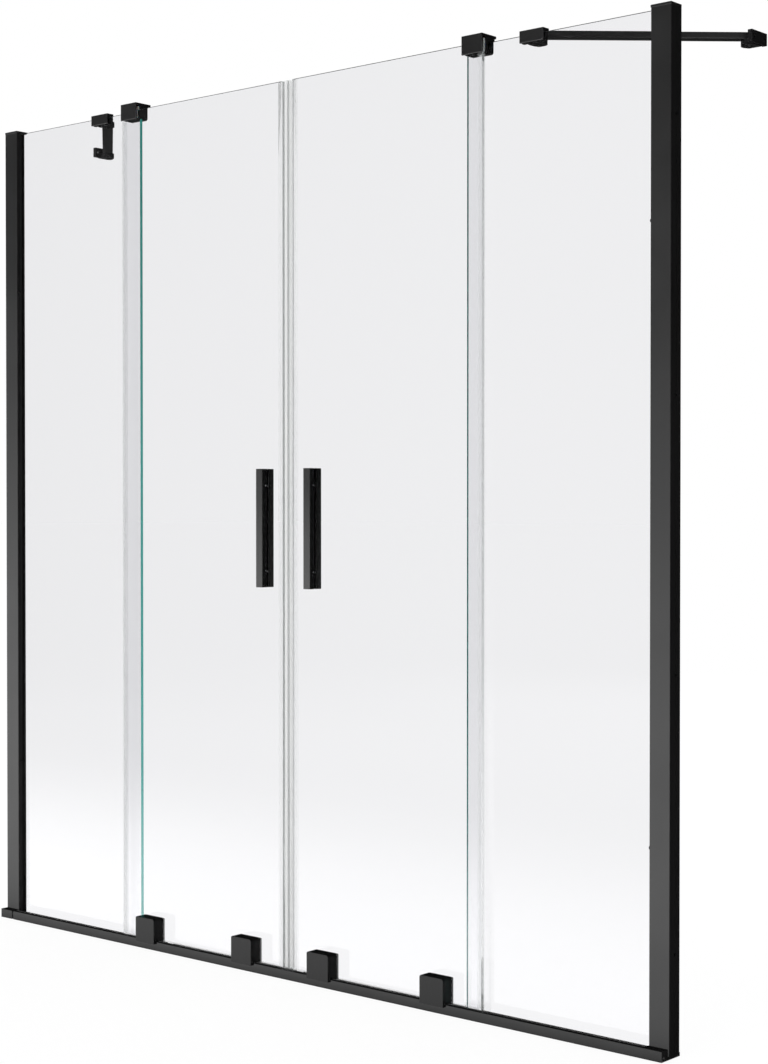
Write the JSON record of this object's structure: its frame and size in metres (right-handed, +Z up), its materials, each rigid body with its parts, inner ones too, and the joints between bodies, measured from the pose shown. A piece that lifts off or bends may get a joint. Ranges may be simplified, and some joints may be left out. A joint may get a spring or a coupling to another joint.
{
  "type": "sliding shower screen",
  "caption": "Wall-to-wall shower screen of clear glass with black trim: fixed side panes, sliding doors on a low rail, and stay bars to the walls.",
  "frame": {"origin": "middle of the bottom rail's underside, halfway between the walls", "axes": "+X along the rail to the right-hand wall as seen from the room, +Y from the room into the shower, +Z up"},
  "size_m": [1.5, 0.2931, 1.5146],
  "materials": {
    "black_profile": "satin black powder coat",
    "inner_profile": "satin black powder coat",
    "black_metal": "satin black powder coat",
    "black_plastic": "satin black moulding",
    "black_cover": "satin black moulding",
    "black_rubber": "matt",
    "clear_glass": "polished toughened glass, 6 mm",
    "clear_seal": "clear flexible strip",
    "nylon": "white nylon",
    "screw_steel": "stainless"
  },
  "bodies": {
    "screen": {"wall_channel_l": "inner_profile", "wall_channel_r": "inner_profile", "glass_channel_l": "black_profile", "glass_channel_r": "black_profile", "profile_cap_l": "black_plastic", "profile_cap_r": "black_plastic", "channel_gaskets_l": "black_rubber", "channel_gaskets_r": "black_rubber", "fixed_glass_l": "clear_glass", "fixed_glass_r": "clear_glass", "bottom_rail": "black_profile", "rail_cap_l": "black_plastic", "rail_cap_r": "black_plastic", "frame_screws": "screw_steel", "glazing_strips": "black_rubber", "setting_blocks": "black_rubber", "door_buffers": "black_rubber", "guide_body_l": "black_metal", "guide_body_r": "black_metal", "guide_hood_l": "black_metal", "guide_hood_r": "black_metal", "guide_glides": "nylon", "stay_clamp_l": "black_metal", "stay_clamp_r": "black_metal", "stay_pivots": "black_metal", "clamp_pads": "black_rubber", "clamp_screws": "screw_steel"},
    "left_door": {"door_glass_l": "clear_glass", "meeting_seal_l": "clear_seal", "fin_seal_l": "clear_seal", "sweep_seal_l": "clear_seal", "handle_front_l": "black_metal", "handle_back_l": "black_metal", "handle_fixings_l": "screw_steel", "roller_covers_l": "black_cover", "roller_carriages_l": "black_metal", "roller_pads_l": "black_rubber", "roller_bolts_l": "black_metal"},
    "right_door": {"door_glass_r": "clear_glass", "meeting_seal_r": "clear_seal", "fin_seal_r": "clear_seal", "sweep_seal_r": "clear_seal", "handle_front_r": "black_metal", "handle_back_r": "black_metal", "handle_fixings_r": "screw_steel", "roller_covers_r": "black_cover", "roller_carriages_r": "black_metal", "roller_pads_r": "black_rubber", "roller_bolts_r": "black_metal"},
    "left_stay": {"stay_bar_l": "black_metal"},
    "right_stay": {"stay_bar_r": "black_metal"},
    "left_bracket": {"wall_bracket_l": "black_metal", "bracket_pivot_l": "black_metal"},
    "right_bracket": {"wall_bracket_r": "black_metal", "bracket_pivot_r": "black_metal"},
    "left_near_wheel": {"wheel_near_l": "nylon"},
    "left_far_wheel": {"wheel_far_l": "nylon"},
    "right_near_wheel": {"wheel_near_r": "nylon"},
    "right_far_wheel": {"wheel_far_r": "nylon"}
  },
  "joints": [
    {"name": "left_door_slide", "type": "slide", "parent": "screen", "child": "left_door", "axis": [-1, 0, 0], "range_m": [0, 0.3]},
    {"name": "right_door_slide", "type": "slide", "parent": "screen", "child": "right_door", "axis": [1, 0, 0], "range_m": [0, 0.3]},
    {"name": "left_near_wheel_spin", "type": "hinge", "parent": "left_door", "child": "left_near_wheel", "pos_m": [-0.0883, -0.019, 0.0273], "axis": [0, 1, 0], "continuous": true},
    {"name": "left_far_wheel_spin", "type": "hinge", "parent": "left_door", "child": "left_far_wheel", "pos_m": [-0.3303, -0.019, 0.0273], "axis": [0, 1, 0], "continuous": true},
    {"name": "right_near_wheel_spin", "type": "hinge", "parent": "right_door", "child": "right_near_wheel", "pos_m": [0.0883, -0.019, 0.0273], "axis": [0, 1, 0], "continuous": true},
    {"name": "right_far_wheel_spin", "type": "hinge", "parent": "right_door", "child": "right_far_wheel", "pos_m": [0.3303, -0.019, 0.0273], "axis": [0, 1, 0], "continuous": true},
    {"name": "left_stay_swing", "type": "hinge", "parent": "screen", "child": "left_stay", "pos_m": [-0.4865, 0.024, 1.503], "axis": [0, 0, -1], "range_deg": [0, 45]},
    {"name": "left_bracket_swivel", "type": "hinge", "parent": "left_stay", "child": "left_bracket", "pos_m": [-0.732, 0.238, 1.503], "axis": [0, 0, -1], "range_deg": [-45, 45]},
    {"name": "right_stay_swing", "type": "hinge", "parent": "screen", "child": "right_stay", "pos_m": [0.4973, 0.024, 1.503], "axis": [0, 0, 1], "range_deg": [0, 45]},
    {"name": "right_bracket_swivel", "type": "hinge", "parent": "right_stay", "child": "right_bracket", "pos_m": [0.732, 0.238, 1.503], "axis": [0, 0, 1], "range_deg": [-45, 45]}
  ],
  "couplings": [
    {"joint": "left_near_wheel_spin", "follows": "left_door_slide", "rad_per_m": -83.333},
    {"joint": "left_far_wheel_spin", "follows": "left_door_slide", "rad_per_m": -83.333},
    {"joint": "right_near_wheel_spin", "follows": "right_door_slide", "rad_per_m": 83.333},
    {"joint": "right_far_wheel_spin", "follows": "right_door_slide", "rad_per_m": 83.333}
  ]
}
